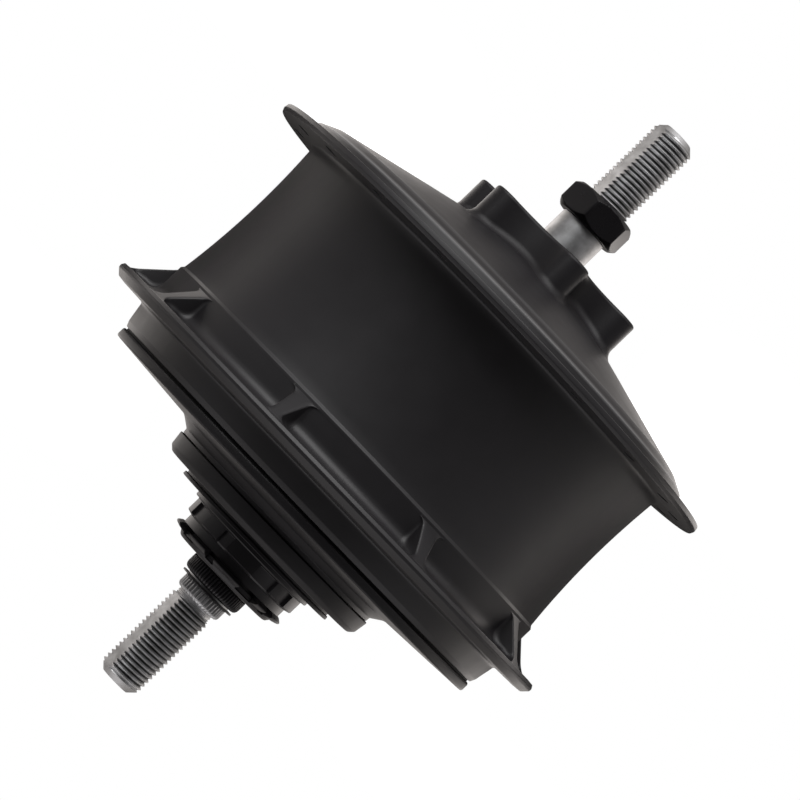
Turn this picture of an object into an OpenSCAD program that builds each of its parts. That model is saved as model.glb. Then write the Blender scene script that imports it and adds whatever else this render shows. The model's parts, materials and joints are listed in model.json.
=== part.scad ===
// Bicycle hub gear with rolling balls between traction rings, for a disc brake.
// Local axis Z runs along the axle, towards the brake side, with 0 midway between the
// two faces that meet the frame. place() lays the axle along +Y for the finished part.

/* [Axle] */
// Distance between the two faces that meet the frame
over_locknut = 135; // [130:1:142]
// Drive-side end of the axle, from the middle
axle_drive_end = 94.4; // [90:0.2:98]
// Brake-side end of the axle, from the middle
axle_brake_end = 91.4; // [88:0.2:96]
// Radius of the threaded ends
thread_r = 5.9; // [5.7:0.05:5.95]
// Radius of the axle inside the hub
axle_r = 6; // [5.98:0.01:6]
// Distance across the two flats at each end
flat_across = 10; // [9:0.1:11]
// Outer radius of the fixed spline next to the drive-side dropout
spline_r = 6.5; // [6.3:0.1:7]
// Width across the flats of the locknut
nut_flats = 17; // [15:1:19]

/* [Shell] */
// Pitch circle diameter of the spoke holes
spoke_pcd = 127.5; // [127:0.5:128]
// Spoke holes in each flange
spokes = 18; // [14:2:18]
// Diameter of a spoke hole
spoke_d = 3; // [2.6:0.1:3.4]
// Middle of the drive-side flange
drive_flange_z = -25.7; // [-26:0.1:-25.4]
// Middle of the brake-side flange
brake_flange_z = 28.7; // [28.4:0.1:29]
// Outer radius of the flanges
flange_r = 69.8; // [69.4:0.1:70.4]
// Number of ribs behind the drive-side flange
ribs = 9; // [6:1:12]
// Bore of the shell
shell_bore_r = 54.2; // [54:0.1:54.4]
// Bolt circle diameter of the brake rotor
rotor_pcd = 44; // [43.5:0.5:44.5]
// Face that the brake rotor sits on
rotor_face_z = 51.7; // [51.5:0.1:52.4]

/* [Transmission] */
// Radius of a planet ball
ball_r = 16.5; // [16:0.1:16.5]
// Radius of the circle that the planet balls sit on
pitch_r = 35.5; // [35:0.1:35.5]
// Number of planet balls
planets = 6; // [6:1:6]
// Radius of a planet axle inside its ball
planet_axle_r = 3.5; // [3:0.1:3.6]
// Radius of the planet axle's ends, in the carrier slots
stub_r = 2.5; // [2.3:0.1:2.5]
// Tilt of the planet axles for each degree of shift
tilt_ratio = 1.2; // [1.1:0.05:1.2]
// Turn of the shift sleeve from level to its lowest ratio
shift_low = 15.33; // [12:0.01:15.33]
// Turn of the shift sleeve from level to its highest ratio
shift_high = 14.33; // [12:0.01:14.33]

/* [Driver] */
// Outer radius of the sprocket splines
driver_r = 17.3; // [17:0.1:17.4]
// Radius of the grooves between the splines
driver_root_r = 15.8; // [15.6:0.1:16]
// Outer radius of the dust cover
cover_r = 31.6; // [31:0.1:32]

/* [Hidden] */
$fn = 96;
eps = 0.5;                              // overshoot of a cut
face_z = over_locknut / 2;              // frame faces stand at -face_z and +face_z
run = 0.04;                             // running clearance
spacer_z0 = 50;                         // axle's step that the brake-side spacer butts against
nut_z0 = 60.1;                          // inner face of the locknut
sun_r = pitch_r - ball_r - run;
contact_x = ball_r * cos(45);           // where a traction ring meets a ball, along the axis
contact_r = pitch_r + contact_x;
plate_in = 18;                          // carrier plates, measured from the planet centres
plate_out = 21.6;
plate_r = 46.6;
slot_mid = (plate_in + plate_out) / 2;
stub_end = 22;
sleeve_r = 8.5;
cam_pitch_r = 50;
cam_ball_d = 5;
cam_x = 18.5;
cam_balls = 12;
shell_face_z = -34.2;
thread_end_z = -28;                     // end of the end cap's thread in the shell
cap_skirt_r = 55.25;
seat_driver_r = 17.5;                   // driver's seat for the end-cap bearing
cap_bore_r = 23.5;
drum_in_r = 19.57;                      // clutch drum
drum_out_r = 22;
nose_r = 16.43;                         // clutch nose of the driver
roller_d = 3;
roller_pitch = (drum_in_r + nose_r) / 2;

// Bearings: [z0, width, bore radius, inner land, outer land, outer radius, pitch, ball d, balls]
BRAKE_B = [42, 8, axle_r, 8.6, 11.4, 14, 10, 4.76, 9];
CAP_B = [-41.8, 7, seat_driver_r, 19.4, 21.6, cap_bore_r, 20.5, 4, 20];
DRIVER_B1 = [-57.5, 5, sleeve_r, 10, 11.5, 13, 10.75, 2.8, 14];
DRIVER_B2 = [-40, 5, sleeve_r, 10, 11.5, 13, 10.75, 2.8, 14];
INPUT_B = [-27.2, 5, sleeve_r, 10, 11.5, 13, 10.75, 2.8, 14];
SUN_B1 = [-8.5, 7, 10, 12.1, 13.9, 16, 13, 4, 12];
SUN_B2 = [1.5, 7, 10, 12.1, 13.9, 16, 13, 4, 12];
// Thrust bearing: z of its middle, pitch radius, ball diameter, number of balls
thrust_z = -29.7;
thrust_pitch = 29;
thrust_d = 3.2;
thrust_n = 24;

// ---------- shared shapes ----------

// Axle along +Y, with the planet of angle 0 straight up
module place() {
    rotate([-90, -90, 0]) children();
}

module lathe(points) {
    rotate_extrude() polygon(points);
}

module tube(z0, z1, r_in, r_out) {
    lathe([[r_in, z0], [r_out, z0], [r_out, z1], [r_in, z1]]);
}

module around(count, radius, first = 0) {
    for (i = [0:count - 1]) rotate(first + i * 360 / count) translate([radius, 0, 0]) children();
}

// Race between two radii, with the balls' groove turned into it
module race(b, r_in, r_out) {
    rotate_extrude() difference() {
        translate([r_in, b[0]]) square([r_out - r_in, b[1]]);
        translate([b[6], b[0] + b[1] / 2]) circle(d = b[7] + 2 * run);
    }
}

module inner_race(b) {
    race(b, b[2], b[3]);
}

module outer_race(b) {
    race(b, b[4], b[5]);
}

module balls(b) {
    translate([0, 0, b[0] + b[1] / 2]) around(b[8], b[6]) sphere(d = b[7]);
}

module ball_cage(b, wall) {
    width = b[7] + 1.2;
    translate([0, 0, b[0] + b[1] / 2]) difference() {
        tube(-width / 2, width / 2, b[6] - wall / 2, b[6] + wall / 2);
        around(b[8], b[6] - wall) rotate([0, 90, 0]) cylinder(d = b[7] + 4 * run, h = 2 * wall, $fn = 32);
    }
}

// Fine teeth around a shaft, cut as vee grooves
module vee_grooves(count, radius, depth, z0, z1) {
    width = 2 * PI * radius / count;
    translate([0, 0, z0]) for (i = [0:count - 1]) rotate((i + 0.5) * 360 / count)
        linear_extrude(z1 - z0)
            polygon([[radius - depth, 0], [radius + eps, -width * 0.55], [radius + eps, width * 0.55]]);
}

// ---------- axle group ----------

module main_axle() {
    chamfer = 2;
    neck_z = -69.2;
    neck_r = 5.1;
    spline_z0 = -face_z - 0.1;
    spline_z1 = -63.5;
    groove_z = [-64.4, -63.8];
    flats_brake_z = face_z;
    color("silver") place() difference() {
        lathe([[0, -axle_drive_end], [thread_r - chamfer, -axle_drive_end],
            [thread_r, -axle_drive_end + chamfer], [thread_r, neck_z], [neck_r, neck_z + 0.3],
            [neck_r, spline_z0], [spline_r - 0.9, spline_z0], [spline_r, spline_z0 + 0.8],
            [spline_r, groove_z[0]], [thread_r, groove_z[0]], [thread_r, groove_z[1]],
            [spline_r, groove_z[1]], [spline_r, spline_z1], [axle_r, spline_z1],
            [axle_r, spacer_z0], [thread_r, spacer_z0],
            [thread_r, axle_brake_end - chamfer], [thread_r - chamfer, axle_brake_end],
            [0, axle_brake_end]]);
        vee_grooves(40, spline_r, 0.35, spline_z0 - eps, groove_z[0]);
        axle_flats(-axle_drive_end - eps, neck_z);
        axle_flats(flats_brake_z, axle_brake_end + eps);
        translate([axle_r - 1.5, -1.5, 4]) cube([3, 3, 14]);
    }
}

// Flats that keep the axle from turning in the dropouts
module axle_flats(z0, z1) {
    flat_turn = -58.5;
    for (side = [0, 180]) rotate(flat_turn + side)
        translate([flat_across / 2, -10, z0]) cube([10, 20, z1 - z0]);
}

module axle_snap_ring() {
    color("#202022") place() difference() {
        tube(-64.3, -63.9, thread_r, 7.9);
        rotate(150) translate([0, -1.5, -66]) cube([12, 3, 4]);
    }
}

module brake_locknut() {
    corner_turn = -13.5;
    corner_r = nut_flats / 2 / cos(30);
    color("#18181a") place() difference() {
        intersection() {
            rotate(corner_turn) translate([0, 0, nut_z0])
                cylinder(r = corner_r, h = face_z - nut_z0, $fn = 6);
            lathe([[0, nut_z0], [corner_r - 1.2, nut_z0], [corner_r, nut_z0 + 0.8],
                [corner_r, face_z - 0.8], [corner_r - 1.2, face_z], [0, face_z]]);
        }
        translate([0, 0, nut_z0 - eps]) cylinder(r = thread_r, h = face_z - nut_z0 + 2 * eps);
    }
}

module brake_spacer() {
    color("#8e8e90") place() tube(spacer_z0, nut_z0, thread_r, spline_r);
}

// Reaction carrier on the axle: radial slots for the planet axles
module fixed_carrier() {
    hub_r = 10;
    slot_half = stub_r + 0.1;
    slot_in_r = 25.5;
    color("#8a8f96") place() difference() {
        lathe([[axle_r, -9], [hub_r, -9], [hub_r, plate_in - 4], [hub_r + 4, plate_in],
            [plate_r, plate_in], [plate_r, plate_out], [hub_r + 4, plate_out],
            [hub_r, plate_out + 4], [hub_r, 28], [axle_r, 28]]);
        for (i = [0:planets - 1]) rotate(i * 60) {
            translate([slot_in_r, -slot_half, plate_in - eps])
                cube([plate_r, 2 * slot_half, plate_out - plate_in + 2 * eps]);
            translate([slot_in_r, 0, plate_in - eps])
                cylinder(r = slot_half, h = plate_out - plate_in + 2 * eps);
        }
        around(planets, 36, 30) translate([0, 0, plate_in - eps]) cylinder(r = 6, h = 10);
        translate([axle_r - 1.5, -1.5, 4]) cube([3, 3, 14]);
    }
}

module carrier_key() {
    color("#a0a4a8") place() translate([axle_r - 1.5, -1.5, 4]) cube([3, 3, 14]);
}

module brake_bearing_inner_race() {
    color("#c0c4c8") place() inner_race(BRAKE_B);
}

module sun_bearing_inner_races() {
    color("#c0c4c8") place() {
        inner_race(SUN_B1);
        inner_race(SUN_B2);
    }
}

// ---------- shift group ----------

module shift_sleeve() {
    z0 = -63.4;
    spline_end = -59.6;
    color("#202022") place() difference() {
        lathe([[axle_r + run, z0], [7.2, z0], [8.1, z0 + 0.4], [sleeve_r - 0.05, z0 + 1.2],
            [sleeve_r - 0.05, spline_end], [sleeve_r - 0.55, spline_end],
            [sleeve_r - 0.55, spline_end + 0.4], [sleeve_r, spline_end + 0.4],
            [sleeve_r, -plate_in], [axle_r + run, -plate_in]]);
        vee_grooves(60, sleeve_r, 0.45, z0 - eps, spline_end + 0.2);
    }
}

// Centre line of a shift slot: the planet axle's end moves out as the sleeve turns
function slot_point(turn, side) =
    let (radius = pitch_r - slot_mid * tan(tilt_ratio * turn),
        step = -slot_mid * tilt_ratio * PI / 180 / pow(cos(tilt_ratio * turn), 2),
        along = [step, -radius * PI / 180],
        out = [-along[1], along[0]] / norm(along),
        local = [radius + side * out[0], side * out[1]])
    [local[0] * cos(-turn) - local[1] * sin(-turn), local[0] * sin(-turn) + local[1] * cos(-turn)];

// Round end of a slot: points on a half circle, from the side of the slot that is given
function slot_end(turn, side) =
    let (middle = slot_point(turn, 0), start = slot_point(turn, side) - middle)
    [for (i = [1:7]) middle + [start[0] * cos(i * 22.5) + start[1] * sin(i * 22.5),
        start[1] * cos(i * 22.5) - start[0] * sin(i * 22.5)]];

module shift_slot(half) {
    slack = 0.4;                        // room past the last shift position, in degrees
    steps = 12;
    first = -shift_low - slack;
    span = shift_low + shift_high + 2 * slack;
    translate([0, 0, -plate_out - eps]) linear_extrude(plate_out - plate_in + 2 * eps)
        polygon(concat(
            [for (i = [0:steps]) slot_point(first + span * i / steps, half)],
            slot_end(first + span, half),
            [for (i = [0:steps]) slot_point(first + span * (steps - i) / steps, -half)],
            slot_end(first, -half)));
}

// Carrier that the shift sleeve turns: its slots slant, so turning it tilts the planet axles
module shift_carrier() {
    slot_half = stub_r + 0.8;
    color("#8a8f96") place() difference() {
        tube(-plate_out, -plate_in, sleeve_r, plate_r);
        for (i = [0:planets - 1]) rotate(i * 60) shift_slot(slot_half);
    }
}

module driver_bearing_inner_races() {
    color("#c0c4c8") place() {
        inner_race(DRIVER_B1);
        inner_race(DRIVER_B2);
    }
}

module input_bearing_inner_race() {
    color("#c0c4c8") place() inner_race(INPUT_B);
}

// ---------- shell group ----------

function shell_outline() = [
    [cap_skirt_r, shell_face_z], [58.2, shell_face_z], [59, -32.5], [59.4, -30], [59.9, -28.5],
    [60.8, -27.9], [62, -27.6], [66, -27.5], [68.2, -27.2], [69.6, -25.9], [flange_r, -25.2],
    [69.4, -24.2], [68.5, -24.1], [62.2, -24], [60.8, -23.4], [60, -22.5], [59.6, -21.5],
    [59.6, -15.7], [59, -14.4], [58.2, -6], [57.6, 8], [58.2, 25],
    [59.2, 26.5], [60.5, 27.2], [62, 27.5], [69, 27.6], [flange_r, 28.4], [69.4, 29.8],
    [62.9, 30], [61.9, 30.5], [61.4, 31.7], [57.6, 33.8], [57, 34.2], [26.5, 41.9], [24.5, 43.1], [20, 43.6],
    [11, 43.6], [11, 39],
    [20, 38.5], [26, 36.5], [49, 30.5], [51, 26], [shell_bore_r, 26],
    [shell_bore_r, thread_end_z], [cap_skirt_r, thread_end_z]];

// Point at an angle and distance from the centre of a circle that sits out along a turned arm
function arm_point(turn, arm, radius, angle) =
    let (x = arm + radius * cos(angle), y = radius * sin(angle))
    [x * cos(turn) - y * sin(turn), x * sin(turn) + y * cos(turn)];

// Valleys of the rotor boss: [distance of the centre, radius, half of the arc in degrees]
DEEP_VALLEY = [26, 8.5, 57.7];
SHALLOW_VALLEY = [34, 14.06, 36.4];

// Outline of the rotor boss: lobes around the bolts, with a deep and a shallow valley by turns
function boss_outline() =
    let (lobe_r = 4.5)
    [for (k = [0:5])
        let (turn = 10.7 + 60 * k,
            before = k % 2 == 0 ? SHALLOW_VALLEY : DEEP_VALLEY,
            after = k % 2 == 0 ? DEEP_VALLEY : SHALLOW_VALLEY,
            first = -before[2] - 30, last = after[2] + 30)
        each concat(
            [for (i = [0:10]) arm_point(turn, rotor_pcd / 2, lobe_r, first + (last - first) * i / 10)],
            [for (i = [-7:7]) arm_point(turn + 30, after[0], after[1], 180 - after[2] * i / 8)])];

// Six-lobed boss that the brake rotor bolts to
module rotor_boss() {
    z0 = 40.5;
    translate([0, 0, z0]) linear_extrude(rotor_face_z - z0) polygon(boss_outline());
}

// Spoke holes through a flange with faces at z0 and z1, with a small chamfer at each face
module spoke_holes(z0, z1, first) {
    hole_r = spoke_d / 2;
    lip = 0.3;
    around(spokes, spoke_pcd / 2, first) rotate_extrude($fn = 32)
        polygon([[0, z0 - 1], [hole_r + lip, z0 - 1], [hole_r + lip, z0], [hole_r, z0 + lip],
            [hole_r, z1 - lip], [hole_r + lip, z1], [hole_r + lip, z1 + 1], [0, z1 + 1]]);
}

module hub_shell() {
    rib_w = 4.4;
    color("#2b2b2e") place() difference() {
        union() {
            lathe(shell_outline());
            rotor_boss();
            around(ribs, 0, -15.6) rotate([90, 0, 0]) translate([0, 0, -rib_w / 2])
                linear_extrude(rib_w) polygon([[57, -25], [68.3, -25], [68.3, -24],
                    [60, -16.7], [59, -15.9], [57, -15.9]]);
        }
        spoke_holes(drive_flange_z - 1.75, drive_flange_z + 1.7, -5.6);
        spoke_holes(brake_flange_z - 1.15, brake_flange_z + 1.25, -16);
        around(6, rotor_pcd / 2, 10.7) translate([0, 0, 42.2]) cylinder(d = 5, h = 12, $fn = 32);
        translate([0, 0, BRAKE_B[0]]) cylinder(r = BRAKE_B[5], h = 12);
        translate([0, 0, BRAKE_B[0] - 4]) cylinder(r = BRAKE_B[4], h = 5);
    }
}

module end_cap() {
    color("#2b2b2e") place() lathe([
        [cap_bore_r, -44.8], [26.5, -44.8], [26.5, -41.7], [31, -41.6], [31.3, -40.8],
        [32.8, -39.3], [35, -38.7], [57.5, -37.3], [58.5, -36.5], [58.5, -35.3], [58, -34.7],
        [cap_skirt_r, -34.7], [cap_skirt_r, -28.5], [51.3, -28.5], [51.3, -33], [22.4, -33],
        [22.4, -34.8], [cap_bore_r, -34.8]]);
}

module end_cap_oring() {
    color("#101012") place() tube(-34.7, shell_face_z, cap_skirt_r, 57.8);
}

module brake_bearing_outer_race() {
    color("#c0c4c8") place() outer_race(BRAKE_B);
}

module brake_seal() {
    color("#101012") place() tube(50.2, 51.4, spline_r + run, 14);
}

module end_cap_bearing_outer_race() {
    color("#c0c4c8") place() outer_race(CAP_B);
}

module driver_seal() {
    color("#101012") place() tube(-44.4, -42.2, seat_driver_r + run, cap_bore_r);
}

// Cam balls' pockets, on a circle at a given place along the axle
module cam_pockets(z) {
    translate([0, 0, z]) around(cam_balls, cam_pitch_r) sphere(d = cam_ball_d);
}

module output_cam_ring() {
    color("#9a9ea4") place() difference() {
        tube(20, 26, 47.5, shell_bore_r);
        cam_pockets(cam_x);
    }
}

module output_cam_balls() {
    color("#d0d4d8") place() cam_pockets(cam_x);
}

// Ring whose cone face meets the balls at 45 degrees. side is -1 for input, 1 for output
module traction_ring(side) {
    in_r = 45.6;
    out_r = 52.8;
    back_x = 17;
    front_x = 8.5;
    cone_sum = contact_x + contact_r + 1.5 * run;
    difference() {
        lathe([[cone_sum - front_x, side * front_x], [out_r, side * front_x],
            [out_r, side * back_x], [in_r, side * back_x], [in_r, side * (cone_sum - in_r)]]);
        cam_pockets(side * cam_x);
    }
}

module output_traction_ring() {
    color("#9a9ea4") place() traction_ring(1);
}

module thrust_race(z0, z1) {
    rotate_extrude() difference() {
        translate([24.5, z0]) square([9, z1 - z0]);
        translate([thrust_pitch, thrust_z]) circle(d = thrust_d + 2 * run);
    }
}

module thrust_race_outer() {
    color("#c0c4c8") place() thrust_race(-33, -30.9);
}

// ---------- driver group ----------

// Slots that the sprocket's teeth slide into: [middle, width] in degrees
SPROCKET_SLOTS = [[-54.6, 10], [-25.5, 21], [19.5, 10], [56.6, 23], [97, 10], [137, 22],
    [178, 10], [222, 22], [266, 10]];

module ring_sector(r_in, r_out, half_angle, z0, z1) {
    reach = r_out / cos(half_angle);
    translate([0, 0, z0]) intersection() {
        linear_extrude(z1 - z0) polygon([[0, 0], [reach * cos(half_angle), -reach * sin(half_angle)],
            [reach * cos(half_angle), reach * sin(half_angle)]]);
        translate([0, 0, -eps]) difference() {
            cylinder(r = r_out, h = z1 - z0 + 2 * eps);
            translate([0, 0, -eps]) cylinder(r = r_in, h = z1 - z0 + 4 * eps);
        }
    }
}

module driver_body() {
    groove_z = [-56.2, -54];
    color("#242426") place() difference() {
        lathe([[13, -59.2], [14, -59.2], [14.7, -58.6], [14.9, -58.1], [driver_r, -57.4],
            [driver_r, -56.9], [driver_root_r, groove_z[0]], [driver_root_r, groove_z[1]],
            [driver_r, -53.6], [driver_r, -50.1], [18.5, -49.9], [18.5, -47],
            [20.5, -47], [20.5, -44.9], [seat_driver_r, -44.9], [seat_driver_r, -34.8],
            [nose_r, -34.8], [nose_r, -27.6], [13.3, -27.6], [13.3, -35], [13, -35],
            [13, -40], [11.5, -40], [11.5, -52.5], [13, -52.5]]);
        for (slot = SPROCKET_SLOTS) rotate(-slot[0]) {
            ring_sector(driver_root_r - 0.7, 20, slot[1] / 2, -58.4, groove_z[0] + 0.1);
            ring_sector(driver_root_r + 0.4, 20, slot[1] / 2, groove_z[1] - 0.1, -50.3);
        }
    }
}

module driver_front_seal() {
    color("#101012") place() tube(-59, -57.5, sleeve_r + run, 13);
}

module dust_cover() {
    color("#1a1a1c") place() lathe([[18.5, -47.8], [23.6, -47.8], [23.6, -47], [29, -46.9],
        [30.5, -46.5], [31.2, -45.5], [cover_r, -42.2], [30.6, -42.2], [30.2, -45.2],
        [29.4, -45.9], [20.5, -45.9], [20.5, -47], [18.5, -47]]);
}

module sprocket_backing_plate() {
    color("#1a1a1c") place() tube(-48.7, -47.8, 18.5, 24.2);
}

module driver_bearing_outer_races() {
    color("#c0c4c8") place() {
        outer_race(DRIVER_B1);
        outer_race(DRIVER_B2);
    }
}

module end_cap_bearing_inner_race() {
    color("#c0c4c8") place() inner_race(CAP_B);
}

// One-way roller clutch between the driver's nose and the cam disc's drum
module clutch_set(d, z0, z1) {
    around(12, roller_pitch) translate([0, 0, z0]) cylinder(d = d, h = z1 - z0, $fn = 32);
}

module clutch_rollers() {
    color("#d0d4d8") place() clutch_set(roller_d, -33.4, -28.4);
}

module clutch_cage() {
    wall = 1;
    color("#a8a060") place() difference() {
        tube(-34.2, -27.6, roller_pitch - wall / 2, roller_pitch + wall / 2);
        clutch_set(roller_d + 4 * run, -33.5, -28.3);
    }
}

// ---------- input group ----------

module input_cam_disc() {
    plate_z = [-26.5, -23.2];
    boss_r = 15.5;
    color("#9a9ea4") place() difference() {
        union() {
            tube(plate_z[0], plate_z[1], 13, 52.8);
            tube(-27.2, -22.2, 13, boss_r);
            tube(-34, plate_z[0], drum_in_r, drum_out_r);
            tube(plate_z[0], -20, 47.5, 52.8);
        }
        cam_pockets(-cam_x);
    }
}

module input_cam_balls() {
    color("#d0d4d8") place() cam_pockets(-cam_x);
}

module input_traction_ring() {
    color("#9a9ea4") place() traction_ring(-1);
}

module thrust_race_inner() {
    color("#c0c4c8") place() thrust_race(-28.5, -26.5);
}

module input_bearing_outer_race() {
    color("#c0c4c8") place() outer_race(INPUT_B);
}

// ---------- rolling sets ----------

module brake_bearing_balls() {
    color("#d0d4d8") place() balls(BRAKE_B);
}

module brake_bearing_cage() {
    color("#a8a060") place() ball_cage(BRAKE_B, 1);
}

module end_cap_bearing_balls() {
    color("#d0d4d8") place() balls(CAP_B);
}

module end_cap_bearing_cage() {
    color("#a8a060") place() ball_cage(CAP_B, 0.8);
}

module thrust_balls() {
    color("#d0d4d8") place() translate([0, 0, thrust_z]) around(thrust_n, thrust_pitch) sphere(d = thrust_d);
}

module thrust_cage() {
    color("#a8a060") place() translate([0, 0, thrust_z]) difference() {
        tube(-0.6, 0.6, 26, 32);
        around(thrust_n, thrust_pitch) sphere(d = thrust_d + 4 * run);
    }
}

module driver_bearing_balls() {
    color("#d0d4d8") place() {
        balls(DRIVER_B1);
        balls(DRIVER_B2);
    }
}

module input_bearing_balls() {
    color("#d0d4d8") place() balls(INPUT_B);
}

module sun_bearing_balls() {
    color("#d0d4d8") place() {
        balls(SUN_B1);
        balls(SUN_B2);
    }
}

// Idler that the balls roll on, with the outer races of its two bearings turned into it
module sun_roller() {
    half = 9;
    color("#9a9ea4") place() rotate_extrude() difference() {
        polygon([[13.9, -half], [sun_r - 1, -half], [sun_r, -half + 1], [sun_r, half - 1],
            [sun_r - 1, half], [13.9, half]]);
        for (b = [SUN_B1, SUN_B2]) translate([b[6], b[0] + b[1] / 2]) circle(d = b[7] + 2 * run);
    }
}

// ---------- planets ----------

module planet_axle(k) {
    shoulder = 17.2;
    color("#b0b4b8") place() rotate((k - 1) * 60) translate([pitch_r, 0, 0])
        lathe([[0, -stub_end], [stub_r - 0.4, -stub_end], [stub_r, -stub_end + 0.4],
            [stub_r, -shoulder], [planet_axle_r, -shoulder], [planet_axle_r, shoulder],
            [stub_r, shoulder], [stub_r, stub_end - 0.4], [stub_r - 0.4, stub_end], [0, stub_end]]);
}

module planet_ball(k) {
    color("#d8dce0") place() rotate((k - 1) * 60) translate([pitch_r, 0, 0]) difference() {
        sphere(r = ball_r);
        translate([0, 0, -20]) cylinder(r = planet_axle_r + run, h = 40);
    }
}

main_axle();
axle_snap_ring();
brake_locknut();
brake_spacer();
fixed_carrier();
carrier_key();
brake_bearing_inner_race();
sun_bearing_inner_races();
shift_sleeve();
shift_carrier();
driver_bearing_inner_races();
input_bearing_inner_race();
hub_shell();
end_cap();
end_cap_oring();
brake_bearing_outer_race();
brake_seal();
end_cap_bearing_outer_race();
driver_seal();
output_cam_ring();
output_cam_balls();
output_traction_ring();
thrust_race_outer();
driver_body();
driver_front_seal();
dust_cover();
sprocket_backing_plate();
driver_bearing_outer_races();
end_cap_bearing_inner_race();
clutch_rollers();
clutch_cage();
input_cam_disc();
input_cam_balls();
input_traction_ring();
thrust_race_inner();
input_bearing_outer_race();
brake_bearing_balls();
brake_bearing_cage();
end_cap_bearing_balls();
end_cap_bearing_cage();
thrust_balls();
thrust_cage();
driver_bearing_balls();
input_bearing_balls();
sun_bearing_balls();
sun_roller();
planet_axle(1);  // planet_axle_1
planet_axle(2);  // planet_axle_2
planet_axle(3);  // planet_axle_3
planet_axle(4);  // planet_axle_4
planet_axle(5);  // planet_axle_5
planet_axle(6);  // planet_axle_6
planet_ball(1);  // planet_ball_1
planet_ball(2);  // planet_ball_2
planet_ball(3);  // planet_ball_3
planet_ball(4);  // planet_ball_4
planet_ball(5);  // planet_ball_5
planet_ball(6);  // planet_ball_6
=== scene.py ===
"""Looks of a bicycle hub gear that lies on a pale floor, seen from above at an angle.

Lengths are millimetres until they reach Blender, which takes metres. A point is given as
(a, r) and an angle: a runs along the axle towards the brake side, r is the distance from
the axle's centre line, and the angle is turned from straight up towards +X.
"""
import json
import math

import bmesh
import bpy
from mathutils import Matrix, Vector


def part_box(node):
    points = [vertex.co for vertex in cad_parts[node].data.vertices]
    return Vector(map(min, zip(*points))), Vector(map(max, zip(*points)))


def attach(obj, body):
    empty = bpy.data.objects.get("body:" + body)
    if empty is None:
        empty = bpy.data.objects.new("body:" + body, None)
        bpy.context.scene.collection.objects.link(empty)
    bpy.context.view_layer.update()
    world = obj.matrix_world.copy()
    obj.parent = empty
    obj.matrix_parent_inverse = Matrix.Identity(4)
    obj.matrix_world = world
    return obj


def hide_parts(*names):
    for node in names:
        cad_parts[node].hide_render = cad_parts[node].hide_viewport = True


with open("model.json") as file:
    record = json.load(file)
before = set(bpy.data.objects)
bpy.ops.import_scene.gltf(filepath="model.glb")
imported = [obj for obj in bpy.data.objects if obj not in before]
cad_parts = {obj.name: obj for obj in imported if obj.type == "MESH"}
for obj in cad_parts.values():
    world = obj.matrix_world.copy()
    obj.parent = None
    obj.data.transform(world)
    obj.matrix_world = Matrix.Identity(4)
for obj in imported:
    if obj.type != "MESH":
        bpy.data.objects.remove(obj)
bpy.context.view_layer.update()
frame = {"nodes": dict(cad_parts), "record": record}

MM = 0.001
TURN = 2 * math.pi
HALF_FLAT = 5.0                         # the axle's flats: half the distance across them,
FLAT_TURN = -58.5                       # and the angle that they face


# ---------- outlines and meshes ----------

def point(a, r, angle):
    """Place in metres of a point given along, out from and around the axle."""
    turn = math.radians(angle)
    return (r * math.sin(turn) * MM, a * MM, r * math.cos(turn) * MM)


def rounded(corners, steps=5):
    """Outline through (a, r, radius) corners, each with an arc of its radius."""
    out = []
    count = len(corners)
    for i, (a, r, radius) in enumerate(corners):
        here = Vector((a, r))
        back = Vector(corners[i - 1][:2]) - here
        ahead = Vector(corners[(i + 1) % count][:2]) - here
        if radius == 0 or back.length == 0 or ahead.length == 0:
            out.append((a, r))
            continue
        half = back.angle(ahead) / 2
        reach = min(radius / math.tan(half), back.length * 0.49, ahead.length * 0.49)
        start = here + back.normalized() * reach
        end = here + ahead.normalized() * reach
        for k in range(steps + 1):
            t = k / steps
            out.append(tuple(start * (1 - t) ** 2 + here * (2 * t * (1 - t)) + end * t ** 2))
    return out


def spread(stops, steps):
    """Numbers that run through the stops, with the given number of steps in each stretch."""
    out = [stops[0]]
    for low, high, n in zip(stops, stops[1:], steps):
        out += [low + (high - low) * (k + 1) / n for k in range(n)]
    return out


def grid(rings, closed=True, caps=False, seam=None):
    """Vertices and faces of a surface through rings of points around the axle.

    Seam gives, for each ring, the ring that its last point joins where the circle closes.
    """
    width = len(rings[0])
    verts = [p for ring in rings for p in ring]
    faces = []
    count = len(rings)
    seam = seam or list(range(count))
    for i in range(count if closed else count - 1):
        here, there = i, (i + 1) % count
        for j in range(width - 1):
            faces.append((here * width + j, there * width + j,
                there * width + j + 1, here * width + j + 1))
        faces.append((here * width + width - 1, there * width + width - 1,
            seam[there] * width, seam[here] * width))
    if caps:
        faces.append(tuple(range(width)))
        faces.append(tuple(reversed(range((count - 1) * width, count * width))))
    return verts, faces


def piece(name, verts, faces, sharp=35):
    """A Blender object from points in metres, smooth except at edges sharper than given."""
    mesh = bpy.data.meshes.new(name)
    mesh.from_pydata(verts, [], faces)
    mesh.validate()
    obj = bpy.data.objects.new(name, mesh)
    bpy.context.scene.collection.objects.link(obj)
    outwards(obj)
    mesh.shade_smooth()
    mesh.set_sharp_from_angle(angle=math.radians(sharp))
    return obj


def outwards(obj):
    """Joins points in the same place, and turns the faces of a closed mesh to face out."""
    work = bmesh.new()
    work.from_mesh(obj.data)
    bmesh.ops.remove_doubles(work, verts=work.verts, dist=1e-7)
    bmesh.ops.recalc_face_normals(work, faces=work.faces)
    work.to_mesh(obj.data)
    work.free()


def lathe(name, outline, segments=288, sharp=35):
    """Closed outline of (a, r) points turned around the axle."""
    rings = [[point(a, r, 360 * j / segments) for j in range(segments)] for a, r in outline]
    return piece(name, *grid(rings), sharp=sharp)


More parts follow.
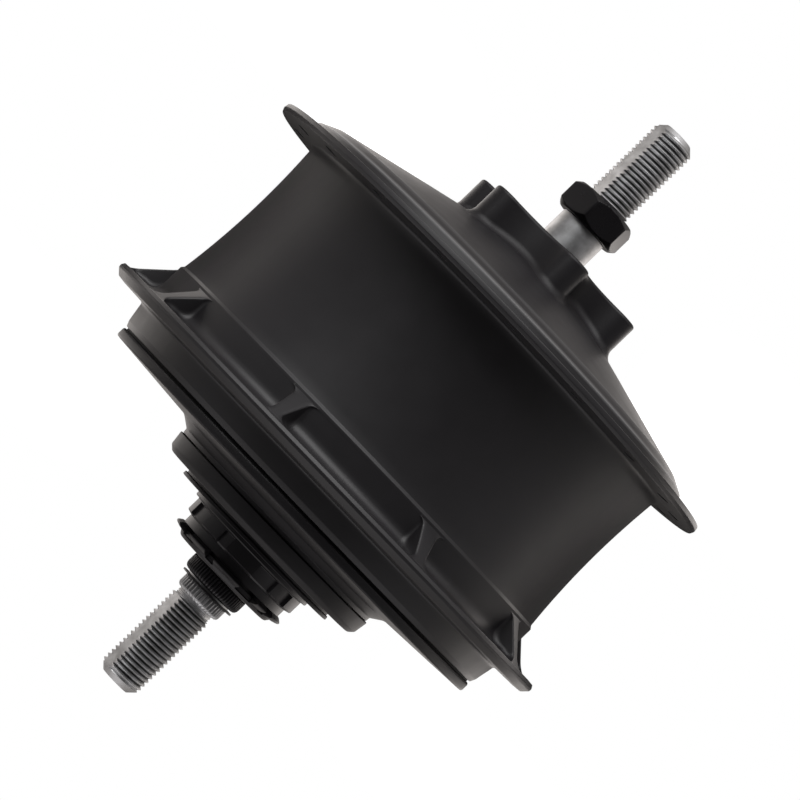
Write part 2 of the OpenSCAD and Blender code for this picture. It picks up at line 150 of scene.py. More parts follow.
def carve(obj, cutter):
    """Takes one closed mesh out of another, and drops the cutter."""
    cut = obj.modifiers.new("cut", "BOOLEAN")
    cut.operation = "DIFFERENCE"
    cut.solver = "EXACT"
    cut.object = cutter
    view = bpy.context.evaluated_depsgraph_get()
    mesh = bpy.data.meshes.new_from_object(obj.evaluated_get(view))
    obj.modifiers.clear()
    old = obj.data
    obj.data = mesh
    bpy.data.meshes.remove(old)
    bpy.data.objects.remove(cutter)
    obj.data.shade_smooth()
    obj.data.set_sharp_from_angle(angle=math.radians(35))


def holes(name, outline, places, segments=24):
    """Cutters of an outline (along, radius) turned around lines that run with the axle."""
    verts, faces = [], []
    for a, r, angle in places:
        centre = Vector(point(a, r, angle))
        rings = []
        for along, radius in outline:
            rings.append([tuple(centre + Vector((radius * math.sin(TURN * j / segments), along,
                radius * math.cos(TURN * j / segments))) * MM) for j in range(segments)])
        some, more = grid(rings, closed=False, caps=True)
        faces += [tuple(i + len(verts) for i in face) for face in more]
        verts += some
    return piece(name, verts, faces)


# ---------- materials ----------

RAMP_REACH = 80                         # ramps along the axle run this far to each side


class Nodes:
    """Short way to build a material's nodes."""

    def __init__(self, name):
        self.material = bpy.data.materials.new(name)
        self.material.use_nodes = True
        self.tree = self.material.node_tree
        self.shader = self.tree.nodes["Principled BSDF"]
        self.coords = self.add("ShaderNodeTexCoord").outputs["Object"]

    def add(self, kind, **values):
        node = self.tree.nodes.new(kind)
        for key, value in values.items():
            if hasattr(node, key):
                setattr(node, key, value)
            else:
                node.inputs[key.replace("_", " ")].default_value = value
        return node

    def link(self, start, end):
        self.tree.links.new(start, end)

    def noise(self, scale, detail=3.0, stretch=(1, 1, 1)):
        mapping = self.add("ShaderNodeMapping")
        mapping.inputs["Scale"].default_value = stretch
        self.link(self.coords, mapping.inputs["Vector"])
        node = self.add("ShaderNodeTexNoise", Scale=scale, Detail=detail)
        self.link(mapping.outputs["Vector"], node.inputs["Vector"])
        return node.outputs["Fac"]

    def ramp(self, source, stops):
        node = self.add("ShaderNodeValToRGB")
        ramp = node.color_ramp
        while len(ramp.elements) < len(stops):
            ramp.elements.new(0.5)
        for element, (place, colour) in zip(ramp.elements, stops):
            element.position = place
            element.color = (*colour, 1)
        self.link(source, node.inputs["Fac"])
        return node.outputs["Color"]

    def ramp_along(self, stops):
        """Greys at (place along the axle, value)."""
        along = self.between(self.along((0, 1, 0)), 0.0, 1.0, (-RAMP_REACH * MM, RAMP_REACH * MM))
        return self.ramp(along, [((a + RAMP_REACH) / (2 * RAMP_REACH), grey(value))
            for a, value in stops])

    def between(self, source, low, high, span=(0, 1)):
        node = self.add("ShaderNodeMapRange")
        node.inputs["From Min"].default_value, node.inputs["From Max"].default_value = span
        node.inputs["To Min"].default_value = low
        node.inputs["To Max"].default_value = high
        self.link(source, node.inputs["Value"])
        return node.outputs["Result"]

    def bump(self, height, distance):
        node = self.add("ShaderNodeBump", Distance=distance, Strength=1.0)
        self.link(height, node.inputs["Height"])
        return node.outputs["Normal"]

    def math(self, operation, first, second=None):
        """Result of a maths node; its second value is a socket or a number."""
        node = self.add("ShaderNodeMath", operation=operation)
        self.link(first, node.inputs[0])
        if isinstance(second, bpy.types.NodeSocket):
            self.link(second, node.inputs[1])
        elif second is not None:
            node.inputs[1].default_value = second
        return node.outputs["Value"]

    def along(self, direction):
        """How far a place lies along a direction."""
        node = self.add("ShaderNodeVectorMath", operation="DOT_PRODUCT")
        self.link(self.coords, node.inputs[0])
        node.inputs[1].default_value = direction
        return node.outputs["Value"]

    def set(self, **values):
        for key, value in values.items():
            self.shader.inputs[key.replace("_", " ")].default_value = value


def grey(value, warm=0.0):
    return (value * (1 + warm), value, value * (1 - warm))


def violet(value):
    """The coating's faint tint."""
    return (value * 1.03, value * 0.95, value * 1.06)


def coated(name, dark, light, rough, grain_mm=0.25, grain_depth=0.004, shine=0.5, edges=(), dull=()):
    """Black coating on metal: faint mottling, fine grain and uneven gloss.

    Edges are (place along the axle, half width, brightness) of rims that get a painted highlight line,
    added to the colour all round the axle.
    Dull is a list of (place along the axle, shine), for a coating that is less shiny at its ends.
    """
    n = Nodes(name)
    mottle = n.noise(55, 4)
    colour = n.ramp(mottle, [(0.3, violet(dark)), (0.7, violet(light))])
    n.set(Specular_IOR_Level=shine)
    if dull:
        n.link(n.ramp_along(dull), n.shader.inputs["Specular IOR Level"])
    if edges:
        stops = [(-RAMP_REACH, 0)]
        for a, half, level in edges:
            stops += [(a - half, 0), (a, level), (a + half, 0)]
        # painted highlight: lighter bands of colour at the given rims, all round the axle
        painted_highlight = n.ramp_along(stops)
        total = n.add("ShaderNodeVectorMath", operation="ADD")
        n.link(colour, total.inputs[0])
        n.link(painted_highlight, total.inputs[1])
        colour = total.outputs["Vector"]
    n.link(colour, n.shader.inputs["Base Color"])
    wear = n.noise(160, 5)
    n.link(n.between(wear, rough - 0.05, rough + 0.06), n.shader.inputs["Roughness"])
    grain = n.noise(1 / (grain_mm * MM), 2)
    n.link(n.bump(grain, grain_depth * MM), n.shader.inputs["Normal"])
    return n.material


def steel(name, dark, light, rough, pitch_mm=0.12, depth_mm=0.003, threaded=False):
    """Bare steel: cutting marks that run around the axle, and a cloudy tone."""
    n = Nodes(name)
    cloud = n.noise(330, 5)
    colour = n.ramp(cloud, [(0.3, grey(dark)), (0.7, grey(light, -0.01))])
    # threaded: painted shade darkens the colour in the roots of the threads
    if threaded:
        root_shaded = n.add("ShaderNodeVectorMath", operation="SCALE")
        n.link(colour, root_shaded.inputs[0])
        n.link(thread_root_shade(n), root_shaded.inputs["Scale"])
        colour = root_shaded.outputs["Vector"]
    n.link(colour, n.shader.inputs["Base Color"])
    marks = n.noise(1 / (pitch_mm * MM), 2, (0.02, 1, 0.02))
    n.link(n.between(marks, rough - 0.07, rough + 0.08), n.shader.inputs["Roughness"])
    n.link(n.bump(marks, depth_mm * MM), n.shader.inputs["Normal"])
    n.set(Metallic=1.0)
    return n.material


def thread_root_shade(n):
    """Painted shade on the axle's colour: dark in the roots of its threads, and a little darker on its
    wider rings.
    """
    middle = 1.0                        # the threads lie at the same distances from this place
    out_x, out_z = n.along((1, 0, 0)), n.along((0, 0, 1))
    square = n.math("ADD", n.math("MULTIPLY", out_x, out_x), n.math("MULTIPLY", out_z, out_z))
    radius = n.math("SQRT", square)
    flat = n.math("ABSOLUTE", n.along(Vector(point(0, 1, FLAT_TURN)) / MM))
    along = n.math("ABSOLUTE", n.math("ADD", n.along((0, 1, 0)), middle * MM))
    root_shade_factor = n.between(radius, 0.2, 1.0, (5.25 * MM, 5.6 * MM))
    # No painted shade on the flats, between the threads, or at the end faces
    for source, low, high in ((flat, HALF_FLAT - 0.07, HALF_FLAT - 0.02), (along, 68.5, 68.2),
            (along, 90.2, 91.2)):
        root_shade_factor = n.math("MAXIMUM", root_shade_factor, n.between(source, 0.0, 1.0, (low * MM, high * MM)))
    return n.math("MULTIPLY", root_shade_factor, n.between(radius, 1.0, 0.72, (6.0 * MM, 6.3 * MM)))


def rubber(name):
    n = Nodes(name)
    dust = n.noise(300, 4)
    n.link(n.ramp(dust, [(0.4, grey(0.003)), (0.75, grey(0.009))]), n.shader.inputs["Base Color"])
    n.link(n.bump(n.noise(2500, 2), 0.00001), n.shader.inputs["Normal"])
    n.set(Roughness=0.6, Specular_IOR_Level=0.1)
    return n.material


def nylon(name):
    n = Nodes(name)
    flow = n.noise(90, 3)
    colour = n.ramp(flow, [(0.35, (0.5, 0.42, 0.2)), (0.7, (0.6, 0.53, 0.28))])
    n.link(colour, n.shader.inputs["Base Color"])
    n.link(n.bump(n.noise(1800, 2), 0.000008), n.shader.inputs["Normal"])
    n.set(Roughness=0.45, Subsurface_Weight=0.1)
    return n.material


# edges: painted highlight lines at the drive flange's pocket edge and at the brake flange's rims and
# cone edge
shell_black = coated("shell_black", 0.010, 0.014, 0.42,
    edges=[(-24.2, 0.18, 0.10), (29.75, 0.16, 0.30), (31.75, 0.2, 0.30), (33.8, 0.15, 0.05)],
    dull=[(-36, 0.32), (-34.4, 0.45), (0, 0.45), (39, 0.45), (42.5, 0.26)])
cover_black = coated("cover_black", 0.009, 0.013, 0.5, 0.2, 0.005, shine=0.35)
driver_black = coated("driver_black", 0.009, 0.014, 0.36, 0.35, 0.003, shine=0.42)
nut_black = coated("nut_black", 0.006, 0.010, 0.28, 0.5, 0.002, shine=0.3)
# threaded=True: the axle's colour carries painted shade in its thread roots
axle_steel = steel("axle_steel", 0.44, 0.74, 0.42, threaded=True)
bearing_steel = steel("bearing_steel", 0.6, 0.68, 0.12, depth_mm=0.0005)
traction_steel = steel("traction_steel", 0.42, 0.5, 0.25, depth_mm=0.001)
carrier_steel = steel("carrier_steel", 0.35, 0.42, 0.38)
seal_rubber = rubber("seal_rubber")
cage_nylon = nylon("cage_nylon")
MATERIALS = {"shell_black": shell_black, "cover_black": cover_black, "driver_black": driver_black,
    "nut_black": nut_black, "axle_steel": axle_steel, "bearing_steel": bearing_steel,
    "traction_steel": traction_steel, "carrier_steel": carrier_steel,
    "seal_rubber": seal_rubber, "cage": cage_nylon}


def finished(obj, body, slot, *nodes):
    """Gives a piece its body, its finish and the CAD nodes that it stands for."""
    obj.data.materials.clear()
    obj.data.materials.append(MATERIALS[slot])
    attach(obj, body)
    if nodes:
        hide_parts(*nodes)


def finish_carried():
    """Gives each CAD node its slot's material."""
    for part in frame["record"]["subparts"]:
        obj = frame["nodes"][part["node"]]
        obj.data.materials.clear()
        obj.data.materials.append(MATERIALS[part["material_slot"]])


# ---------- hub shell ----------

RIBS = 9
RIB_FIRST = -15.6
SPOKES = 18
SPOKE_CIRCLE = 63.75
POCKET_TOP = (-24.05, 68.35)            # where a rib leaves the flange
POCKET_END = (-16.0, 59.72)             # where it meets the shell
POCKET_FLOOR = 59.6
POCKET_FACE = -24.0
SHELL_SEAM = -34.2
ROTOR_FACE = 51.7
BOLT_CIRCLE, LOBE_FIRST = 22.0, 10.7    # radius to the rotor's bolts, and the first one's angle
WAIST_MIDDLE, WAIST_R, WAIST_FLARE = 9.0, 57.6, 0.00251


def pocket_depth(a, r, fillet=3.0):
    """Distance from the ribs' top line down to the pocket's floor, face or the round between."""
    down = Vector((-0.735, -0.678))
    to_face = (a - POCKET_FACE) / -down[0]
    to_floor = (r - POCKET_FLOOR) / -down[1]
    straight = max(0.0, min(to_face, to_floor))
    end = Vector((a, r)) + down * straight
    centre = Vector((POCKET_FACE + fillet, POCKET_FLOOR + fillet))
    if end[0] < centre[0] and end[1] < centre[1]:
        offset = Vector((a, r)) - centre
        along = offset.dot(down)
        reach = along * along - offset.length_squared + fillet * fillet
        if reach > 0:
            return max(0.0, -along + math.sqrt(reach))
    return straight


def rib_columns():
    """Across half a rib and half a pocket: (kind, share) for each column."""
    top = [("top", t) for t in (0, 0.5, 1)]
    edge = [("edge", t) for t in (0.33, 0.67, 1)]
    foot = [("foot", t) for t in (0, 0.2, 0.4, 0.6, 0.8, 1)]
    floor = [("floor", t) for t in spread([0, 1], [9])[1:]]
    return top + edge + foot + floor


def across(kind, share, half, height, reach, foot=1.2):
    """(distance from the rib's middle, height over the pocket's floor) of a column."""
    edge_r = min(0.45, 0.3 * height)
    foot_r = min(foot, 0.6 * height)
    if kind == "top":
        return (half - edge_r) * share, height
    if kind == "edge":
        turn = share * math.pi / 2
        return half - edge_r + edge_r * math.sin(turn), height - edge_r * (1 - math.cos(turn))
    wall = half + 0.12 * max(height - edge_r - foot_r, 0)
    turn = share * math.pi / 2
    if kind == "foot":
        return wall + foot_r * (1 - math.cos(turn)), foot_r * (1 - math.sin(turn))
    start = wall + foot_r
    return start + (reach - start) * share, 0.0


def rib_half(run, length, flare=3.0, corner=1.5):
    """Half of a rib's width at a distance from the flange, flared where it meets its neighbours."""
    half = 1.6 + 1.1 * (run / length) ** 1.5
    if run < flare:
        half += (flare - math.sqrt(flare ** 2 - (flare - run) ** 2))
    left = length - run
    if left < corner:
        half += corner - math.sqrt(corner ** 2 - (corner - left) ** 2)
    return half


def pocket_rings():
    """Rings from the drive flange's inner face, over ribs and pockets, to the shell's waist."""
    half_step = 180 / RIBS
    columns = rib_columns()
    mirrored = list(reversed(columns[1:-1]))
    top, end = Vector(POCKET_TOP), Vector(POCKET_END)
    length = (end - top).length
    out = Vector((0.735, 0.678))
    rings = []
    shares = spread([0, 0.12, 0.4, 0.8, 0.96, 1], [6, 8, 7, 6, 5])
    for share in shares:
        on_line = top + (end - top) * share
        height = pocket_depth(*on_line)
        half = rib_half(share * length, length)
        foot = 2.8 - 2.1 * share
        ring = []
        for k in range(RIBS):
            middle = RIB_FIRST + k * 2 * half_step
            reach = math.radians(half_step) * on_line[1]
            for side, some in ((1, columns), (-1, mirrored)):
                for kind, part in some:
                    x, height_here = across(kind, part, half, height, reach, foot)
                    place = on_line - out * (height - height_here)
                    turn = math.degrees(x / on_line[1])
                    at = middle + turn if side == 1 else middle + 2 * half_step - turn
                    ring.append(point(place[0], place[1], at))
        rings.append(ring)
    return rings


def column_angles():
    """Angles of the shell's columns away from the ribs, matched to the pocket's own."""
    half_step = 180 / RIBS
    columns = rib_columns()
    reach = math.radians(half_step) * 60
    angles = []
    for k in range(RIBS):
        middle = RIB_FIRST + k * 2 * half_step
        turns = [math.degrees(across(kind, part, 4.0, 1.0, reach)[0] / 60) for kind, part in columns]
        angles += [middle + t for t in turns]
        angles += [middle + 2 * half_step - t for t in reversed(turns[1:-1])]
    return angles


def waist():
    """Slightly hollow barrel between the flanges."""
    return [(a, WAIST_R + WAIST_FLARE * (a - WAIST_MIDDLE) ** 2) for a in spread([-14.4, 24.6], [16])]


def hub_shell():
    angles = column_angles()
    drive = rounded([
        (SHELL_SEAM, 55.25, 0), (SHELL_SEAM, 58.4, 0.4), (-32.8, 59.0, 1), (-29.0, 59.7, 0),
        (-27.7, 59.9, 1.6), (-27.5, 66.0, 0), (-27.25, 68.3, 0.8), (-25.75, 69.75, 0.5),
        (-25.0, 69.85, 0.3), (-24.1, 69.3, 0.3), (-24.07, 68.45, 0)])
    step = rounded([(-15.9, 59.62, 0), (-15.3, 59.6, 0.2), (-14.6, 59.02, 0.2), (-14.5, 59.0, 0)], 3)
    brake = rounded([
        (25.3, 58.25, 0), (27.2, 58.6, 1.8), (27.5, 68.4, 0), (27.6, 69.5, 0.3), (28.5, 69.9, 0.6),
        (29.7, 69.7, 0.3), (29.85, 67.5, 0), (30.0, 61.9, 0.3), (31.8, 61.55, 0.3), (33.8, 57.6, 0.5),
        (41.9, 26.5, 0),
        (43.6, 20.0, 0), (43.6, 12.0, 0), (39.0, 12.0, 0), (38.5, 20.0, 0), (36.5, 26.0, 0),
        (30.5, 49.0, 0), (26.0, 51.0, 0), (26.0, 54.2, 0), (-28.0, 54.2, 0), (-28.0, 55.25, 0)])
    rings = [[point(a, r, t) for t in angles] for a, r in drive]
    rings += pocket_rings()
    rings += [[point(a, r, t) for t in angles] for a, r in step + waist() + brake]
    shell = piece("hub_shell_body", *grid(rings))
    for name, low, high, first in (("drive", -27.45, -24.0, -5.6), ("brake", 27.55, 29.95, -16)):
        outline = [(low - 1, 1.8), (low, 1.8), (low + 0.3, 1.5),
            (high - 0.3, 1.5), (high, 1.8), (high + 0.6, 1.8)]
        places = [(0, SPOKE_CIRCLE, first + 360 * k / SPOKES) for k in range(SPOKES)]
        carve(shell, holes(name + "_cutters", outline, places))
    finished(shell, "shell", "shell_black", "hub_shell")


def boss_outline(grow=0.0, steps=16):
    """Points around the rotor boss: six lobes, with a deep and a shallow valley by turns."""
    lobe_r = 4.5
    out = []
    for k in range(6):
        before, after = valley(k - 1), valley(k)
        turn = math.radians(LOBE_FIRST + 60 * k)
        for arm, radius, first, last, extra in (
                (BOLT_CIRCLE, lobe_r + grow, -before[2] - 30, after[2] + 30, 0),
                (after[0], after[1] - grow, 180 + after[2], 180 - after[2], math.pi / 6)):
            for i in range(steps):
                t = math.radians(first + (last - first) * (i + 0.5) / steps)
                x, y = arm + radius * math.cos(t), radius * math.sin(t)
                c, s = math.cos(turn + extra), math.sin(turn + extra)
                out.append((x * c - y * s, x * s + y * c))
    return out


def valley(k):
    """(distance of its centre, radius, half its arc in degrees) of the valley after a lobe."""
    return (26.0, 8.5, 57.7) if k % 2 == 0 else (34.0, 14.06, 36.4)


def cone_at(r):
    """Where the brake-side cone's surface is, along the axle, at a distance from its centre line."""
    return 34.2 + (56.2 - r) * 7.7 / 29.7


def rotor_boss():
    """Six-lobed boss with a soft foot on the cone and a rounded rim."""
    rings = []
    foot, rim = 2.0, 0.8
    for k in range(8):
        t = math.pi / 2 * k / 7
        outline = boss_outline(foot * (1 - math.sin(t)))
        lift = foot * (1 - math.cos(t))
        rings.append([(y * MM, (cone_at(math.hypot(x, y)) - 0.05 + lift) * MM, x * MM)
            for x, y in outline])
    for k in range(7):
        t = math.pi / 2 * k / 6
        outline = boss_outline(-rim * (1 - math.cos(t)))
        a = ROTOR_FACE - rim * (1 - math.sin(t))
        rings.append([(y * MM, a * MM, x * MM) for x, y in outline])
    verts, faces = grid(rings, closed=False, caps=True)
    boss = piece("rotor_boss", verts, faces)
    bolt = [(-9.5, 2.1), (-0.5, 2.1), (0.5, 3.1), (3, 3.1)]
    places = [(ROTOR_FACE, BOLT_CIRCLE, LOBE_FIRST + 60 * k) for k in range(6)]
    carve(boss, holes("bolt_cutters", bolt, places))
    mouth = [(-20, 14), (-0.6, 14), (0.6, 15.2), (3, 15.2)]
    carve(boss, holes("mouth_cutter", mouth, [(ROTOR_FACE, 0, 0)], 120))
    finished(boss, "shell", "shell_black")


# ---------- end cap and covers ----------

def end_cap():
    cap = lathe("end_cap_disc", rounded([
        (-44.8, 23.5, 0), (-44.8, 26.5, 0.3), (-42.0, 26.5, 0), (-41.95, 31.1, 0.2),
        (-40.8, 31.2, 0.3), (-38.75, 34.2, 2.6), (-37.3, 57.4, 0.5), (-37.2, 58.6, 0.8),
        (-34.7, 58.6, 0.7), (-34.7, 55.25, 0), (-28.5, 55.25, 0), (-28.5, 51.3, 0),
        (-33.0, 51.3, 0), (-33.0, 22.4, 0), (-34.8, 22.4, 0), (-34.8, 23.5, 0)]))
    finished(cap, "shell", "shell_black", "end_cap")


def dust_cover():
    cover = lathe("dust_cover_dish", rounded([
        (-47.8, 18.5, 0), (-47.8, 23.6, 0.2), (-47.0, 23.7, 0.15), (-46.9, 29.8, 1.0),
        (-45.7, 31.1, 1.0), (-42.1, 31.6, 0.25), (-42.1, 30.6, 0.2), (-45.2, 30.2, 0.8),
        (-45.9, 29.0, 0.6), (-45.9, 20.5, 0), (-47.0, 20.5, 0), (-47.0, 18.5, 0)]))
    finished(cover, "driver", "cover_black", "dust_cover")


def backing_plate():
    plate = lathe("backing_disc", rounded([
        (-47.8, 18.5, 0), (-47.8, 24.1, 0.15), (-48.7, 24.2, 0.15), (-48.7, 18.5, 0)]))
    finished(plate, "driver", "cover_black", "sprocket_backing_plate")


# ---------- driver ----------

# Slots for the sprocket's teeth: (middle, width), in degrees
SLOTS = [(54.6, 10), (25.5, 21), (-19.5, 10), (-56.6, 23), (-97, 10), (-137, 22), (-178, 10),
    (-222, 22), (-266, 10)]


def slot_angles(step=1.5, wall=0.35):
    """Angles around the driver with (angle, depth share), closely spaced at the slots' walls."""
    edges = []
    for middle, width in SLOTS:
        low, high = middle - width / 2, middle + width / 2
        edges += [(low - wall, 0), (low + wall, 1), (high - wall, 1), (high + wall, 0)]
    edges = sorted((t % 360, depth) for t, depth in edges)
    out = []
    for (t0, d0), (t1, d1) in zip(edges, edges[1:] + [(edges[0][0] + 360, edges[0][1])]):
        count = max(1, round((t1 - t0) / step))
        out += [(t0 + (t1 - t0) * k / count, d0 + (d1 - d0) * k / count) for k in range(count)]
    return out


def driver_drum():
    # (a, r on a spline, r in a slot) from the nose's bore, over the splines, back inside
    profile = [(-59.2, 13.0, 13.0), (-59.25, 13.9, 13.9), (-59.05, 14.35, 14.35), (-58.6, 14.7, 14.7),
        (-58.45, 14.8, 14.75), (-58.3, 14.9, 14.6), (-58.15, 15.0, 14.5), (-57.95, 15.9, 14.5),
        (-57.6, 16.9, 14.5), (-57.35, 17.25, 14.5), (-57.15, 17.3, 14.5), (-57.1, 17.28, 13.4),
        (-56.85, 17.1, 13.4), (-56.4, 16.5, 13.4), (-56.25, 16.3, 13.4), (-56.2, 15.8, 15.8),
        (-56.1, 15.8, 15.8), (-54.2, 15.8, 15.8), (-54.1, 15.8, 15.8), (-53.95, 16.3, 16.2),
        (-53.7, 17.1, 16.4), (-53.5, 17.3, 16.45), (-50.5, 17.3, 16.45), (-50.35, 17.3, 16.5),
        (-50.2, 17.3, 17.3), (-50.1, 17.3, 17.3), (-49.95, 17.6, 17.6), (-49.9, 18.3, 18.3),
        (-49.7, 18.5, 18.5), (-47.8, 18.5, 18.5), (-47.8, 20.5, 20.5), (-44.9, 20.5, 20.5),
        (-44.9, 17.5, 17.5), (-34.8, 17.5, 17.5), (-34.8, 16.43, 16.43), (-27.6, 16.43, 16.43),
        (-27.6, 13.3, 13.3), (-35.0, 13.3, 13.3), (-35.0, 13.0, 13.0), (-40.0, 13.0, 13.0),
        (-40.0, 11.5, 11.5), (-52.5, 11.5, 11.5), (-52.5, 13.0, 13.0)]
    around = slot_angles()
    rings = [[point(a, full + (cut - full) * depth, t) for t, depth in around]
        for a, full, cut in profile]
    finished(piece("driver_drum", *grid(rings), sharp=30), "driver", "driver_black", "driver_body")


def front_seal():
    seal = lathe("driver_seal_lip", rounded([
        (-58.9, 8.6, 0), (-58.9, 9.6, 0.2), (-58.4, 10.2, 0.2), (-58.4, 12.2, 0.2), (-58.9, 12.6, 0.2),
        (-58.9, 13.0, 0), (-57.5, 13.0, 0), (-57.5, 8.6, 0)], 3), 192)
    finished(seal, "driver", "seal_rubber", "driver_front_seal")


# ---------- toothed collars, axle and nut ----------

def teeth(angle, count, depth):
    """Drop below the crest of a ring of rounded teeth."""
    share = (angle / 360 * count) % 1
    return depth * min(1.0, max(0.0, 1.6 * abs(2 * share - 1) - 0.45))


def toothed_ring(a, r, depth, count, columns):
    """Ring of points around the axle with a number of teeth of the given depth."""
    angles = [360 * j / columns for j in range(columns)]
    return [point(a, r - teeth(angle, count, depth), angle) for angle in angles]


def shift_collar():
    count, columns = 60, 480
    # (a, r, tooth depth)
    profile = [(-63.4, 6.05, 0), (-63.42, 6.9, 0), (-63.4, 7.2, 0.1), (-63.25, 7.75, 0.25),
        (-62.9, 8.15, 0.4), (-62.4, 8.38, 0.45), (-61.9, 8.45, 0.45), (-59.9, 8.45, 0.45),
        (-59.7, 8.42, 0.45), (-59.62, 8.3, 0.3), (-59.6, 8.0, 0), (-59.3, 8.0, 0),
        (-59.2, 8.5, 0), (-18.0, 8.5, 0), (-18.0, 6.05, 0)]
    rings = [toothed_ring(a, r, depth, count, columns) for a, r, depth in profile]
    finished(piece("shift_collar", *grid(rings), sharp=50), "shift", "driver_black", "shift_sleeve")


THREAD_CREST, THREAD_DEPTH, PITCH = 5.9, 0.72, 1.25
THREAD_ROWS = 8                         # rings for each turn of the thread


def clipped(r, angle):
    """Radius after the axle's two flats are cut."""
    cos = abs(math.cos(math.radians(angle - FLAT_TURN)))
    return min(r, HALF_FLAT / cos) if cos > 1e-6 else r


def thread(a, angle):
    """Radius of the screw thread at a place along and around the axle."""
    share = (a / PITCH - angle / 360) % 1
    drop = abs(2 * share - 1)
    return THREAD_CREST - THREAD_DEPTH * min(1.0, max(0.0, 1.25 * drop - 0.12))


def threaded_rings(start, end, columns, chamfer=2.0):
    """Rings of a threaded, flatted end, from the free end inwards, that follow the helix."""
    inwards = 1 if end > start else -1
    count = math.ceil((abs(end - start) / PITCH + 1) * THREAD_ROWS)
    rings = []
    for i in range(count + 1):
        ring = []
        for j in range(columns):
            angle = 360 * j / columns
            lead = PITCH * (angle / 360 - (1 if inwards == 1 else 0))
            a = start + inwards * PITCH * i / THREAD_ROWS + lead
            a = min(max(a, min(start, end)), max(start, end))
            r = min(thread(a, angle), THREAD_CREST - chamfer + abs(a - start))
            ring.append(point(a, clipped(r, angle), angle))
        rings.append(ring)
    return rings


def axle():
    columns = 240

    def plain(*profile):
        """Rings through (a, r) or (a, r, tooth depth) places."""
        return [toothed_ring(a, r, tooth[0] if tooth else 0.0, 40, columns) for a, r, *tooth in profile]

    rings = threaded_rings(-94.4, -69.4, columns)
    drive_end = len(rings)
    # Relief neck, fixed toothed collar with the snap ring's groove, and the plain shaft
    rings += plain((-69.3, 5.0), (-69.15, 5.1), (-68.9, 5.2), (-68.8, 5.0), (-68.55, 5.0),
        (-68.45, 5.2), (-68.2, 5.2), (-68.1, 5.05), (-67.75, 5.1), (-67.65, 5.3))
    rings += plain((-67.6, 5.6), (-67.58, 5.85, 0.1), (-67.3, 6.2, 0.3), (-67.0, 6.42, 0.35),
        (-66.7, 6.5, 0.35), (-64.6, 6.5, 0.35), (-64.45, 6.45, 0.35), (-64.4, 6.3),
        (-64.38, 5.9), (-63.82, 5.9), (-63.8, 6.5), (-63.45, 6.5), (-63.43, 6.0))
    rings += plain((52.2, 6.0), (52.25, 5.9), (60.0, 5.9))
    plain_end = len(rings)
    rings += list(reversed(threaded_rings(91.4, 67.3, columns)))
    seam = list(range(len(rings)))      # a helix closes on the ring one turn further on
    for first, last in ((0, drive_end), (plain_end, len(rings))):
        seam[first:last] = [min(k + THREAD_ROWS, last - 1) for k in range(first, last)]
    shaft = piece("axle_shaft", *grid(rings, closed=False, caps=True, seam=seam), sharp=40)
    finished(shaft, "axle", "axle_steel", "main_axle")


def locknut():
    columns, half_flat, low, high = 360, 8.5, 60.1, 67.5
    corner = half_flat / math.cos(math.pi / 6)
    shoulder = 1.4                      # the chamfer's cone leaves the corners this far from a face

    def ring(a, r):
        out = []
        for j in range(columns):
            angle = 360 * j / columns
            off = (angle + 13.5 + 30) % 60 - 30
            out.append(point(a, min(r, half_flat / math.cos(math.radians(30 - abs(off)))), angle))
        return out

    rings = [ring(low, 5.92), ring(low, 8.0)]
    rings += [ring(low + d, 8.15 + d * (corner - 8.15) / shoulder) for d in spread([0, shoulder], [7])]
    rings += [ring(high - d, 8.15 + d * (corner - 8.15) / shoulder) for d in spread([shoulder, 0], [7])]
    rings += [ring(high, 8.0), ring(high, 6.5), ring(high - 0.6, 5.92)]
    nut = piece("locknut_hex", *grid(rings), sharp=25)
    finished(nut, "axle", "nut_black", "brake_locknut")


def spacer():
    sleeve = lathe("spacer_sleeve", rounded([
        (50.0, 5.95, 0), (50.0, 6.5, 0), (60.1, 6.5, 0.25), (60.1, 5.95, 0)]), 144)
    finished(sleeve, "axle", "axle_steel", "brake_spacer")


# ---------- stage, light and camera ----------

FLOOR_DIM = 0.06                        # floor beside the hub, as the hub's surfaces see it
GLOW_DRIVE, GLOW_BRAKE = 1.3, 2.3       # more light from the floor under each cone
SIDE_DIM = 0.25                         # walls beside the hub
CEILING_DIM = 0.14

def stage():
    """Floor that is white to the camera, and lights the hub from both ends more than from the sides."""
    floor_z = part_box("hub_shell")[0][2]
    bpy.ops.mesh.primitive_plane_add(size=6, location=(0, 0, floor_z - 0.0002))
    floor = bpy.context.object
    floor.name = "floor"
    n = Nodes("floor_white")
    y = n.along((0, 1, 0))
    to_end = n.math("ABSOLUTE", y)
    to_side = n.math("ABSOLUTE", n.along((1, 0, 0)))
    band = n.ramp(n.between(to_end, 0.0, 1.0, (0.0, 0.1)),
        [(0.3, grey(0)), (0.42, grey(1)), (0.6, grey(1)), (0.85, grey(0))])
    band = n.math("MULTIPLY", band, n.between(to_side, 0.0, 1.0, (0.025, 0.055)))
    glow = n.math("MULTIPLY", band, n.between(y, GLOW_DRIVE, GLOW_BRAKE, (-0.01, 0.01)))
    total = n.math("ADD", glow, n.between(to_end, FLOOR_DIM, 0.35, (0.03, 0.06)))
    seen = n.add("ShaderNodeLightPath").outputs["Is Camera Ray"]
    n.link(n.math("MAXIMUM", total, seen), n.shader.inputs["Emission Strength"])
    n.link(n.ramp(seen, [(0.0, (1, 0.94, 0.9)), (1.0, (1, 1, 1))]), n.shader.inputs["Emission Color"])
    n.set(Base_Color=(0, 0, 0, 1), Roughness=1.0, Specular_IOR_Level=0.0)
    floor.data.materials.append(n.material)


def area_light(name, place, size, power):
    """Rectangular light that shines at the middle of the hub."""
    light = bpy.data.lights.new(name, "AREA")
    light.shape = "RECTANGLE"
    light.size, light.size_y = size
    light.energy = power
    obj = bpy.data.objects.new(name, light)
    obj.location = place
    obj.rotation_euler = (-Vector(place)).to_track_quat("-Z", "Y").to_euler()
    bpy.context.scene.collection.objects.link(obj)


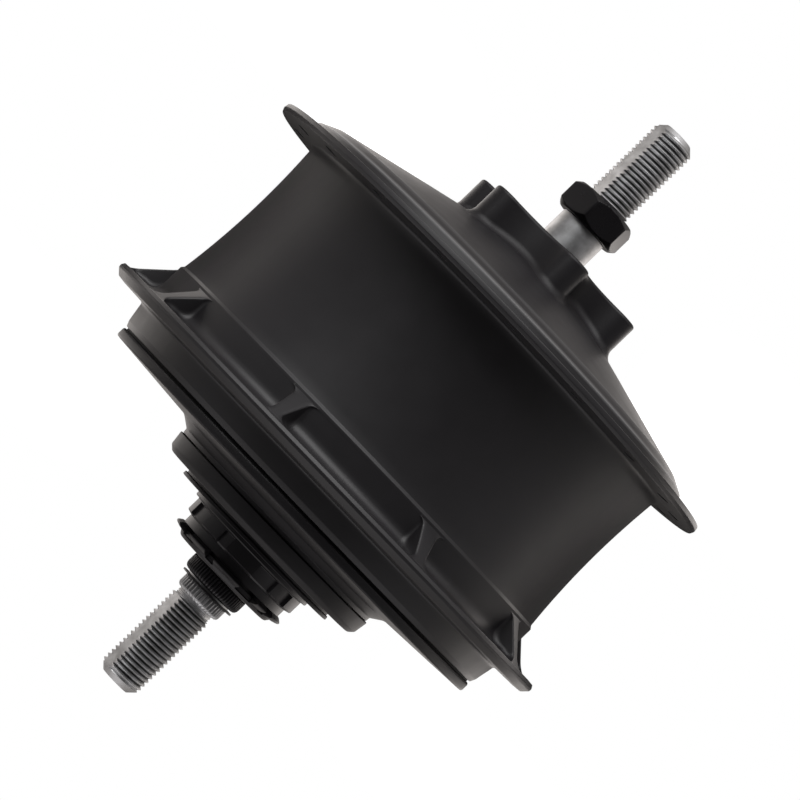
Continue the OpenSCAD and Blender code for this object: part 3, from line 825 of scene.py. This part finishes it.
def lights():
    """White room with a dark ceiling, brighter along the axle, and a light at the brake side."""
    world = bpy.data.worlds.new("studio")
    world.use_nodes = True
    tree = world.node_tree

    def add(kind, *inputs, **settings):
        node = tree.nodes.new(kind)
        for key, value in settings.items():
            setattr(node, key, value)
        for socket, value in zip(node.inputs, inputs):
            if isinstance(value, bpy.types.NodeSocket):
                tree.links.new(value, socket)
            elif value is not None:
                socket.default_value = value
        return node

    direction = add("ShaderNodeTexCoord").outputs["Generated"]
    parts = add("ShaderNodeSeparateXYZ", direction).outputs
    soft = "SMOOTHSTEP"
    ceiling = add("ShaderNodeMapRange", parts["Z"], 0.25, 0.9, 1.0, CEILING_DIM, interpolation_type=soft)
    away = add("ShaderNodeMath", parts["Y"], operation="ABSOLUTE").outputs["Value"]
    side = add("ShaderNodeMapRange", away, 0.15, 0.8, SIDE_DIM, 1.15, interpolation_type=soft)
    level = add("ShaderNodeMath", ceiling.outputs["Result"], side.outputs["Result"],
        operation="MULTIPLY")
    back = tree.nodes["Background"]
    tree.links.new(level.outputs["Value"], back.inputs["Strength"])
    back.inputs["Color"].default_value = (1, 0.97, 0.98, 1)
    bpy.context.scene.world = world
    area_light("key", (-0.35, 0.9, 0.7), (1.4, 0.9), 12)
    bpy.context.scene.view_settings.view_transform = "Standard"


def camera():
    """Looks straight down from beside the drive flange, with the axle at a slant across the picture."""
    slant = math.radians(43.97)
    height, width = 0.975, 0.1896       # metres: the lens, and what it shows across the picture
    place = Vector((0.0, -0.0275, height))
    aim = Vector((-0.00095, 0.00024, 0.0))
    view = (aim - place).normalized()
    up = Vector((-math.cos(slant), math.sin(slant), 0))
    right = view.cross(up).normalized()
    up = right.cross(view)
    data = bpy.data.cameras.new("camera")
    data.sensor_width = 36
    data.lens = data.sensor_width * height / width
    obj = bpy.data.objects.new("camera", data)
    obj.matrix_world = Matrix((right, up, -view)).transposed().to_4x4()
    obj.location = place
    bpy.context.scene.collection.objects.link(obj)
    bpy.context.scene.camera = obj


camera()
stage()
lights()
finish_carried()
hub_shell()
rotor_boss()
end_cap()
dust_cover()
backing_plate()
driver_drum()
front_seal()
shift_collar()
axle()
locknut()
spacer()
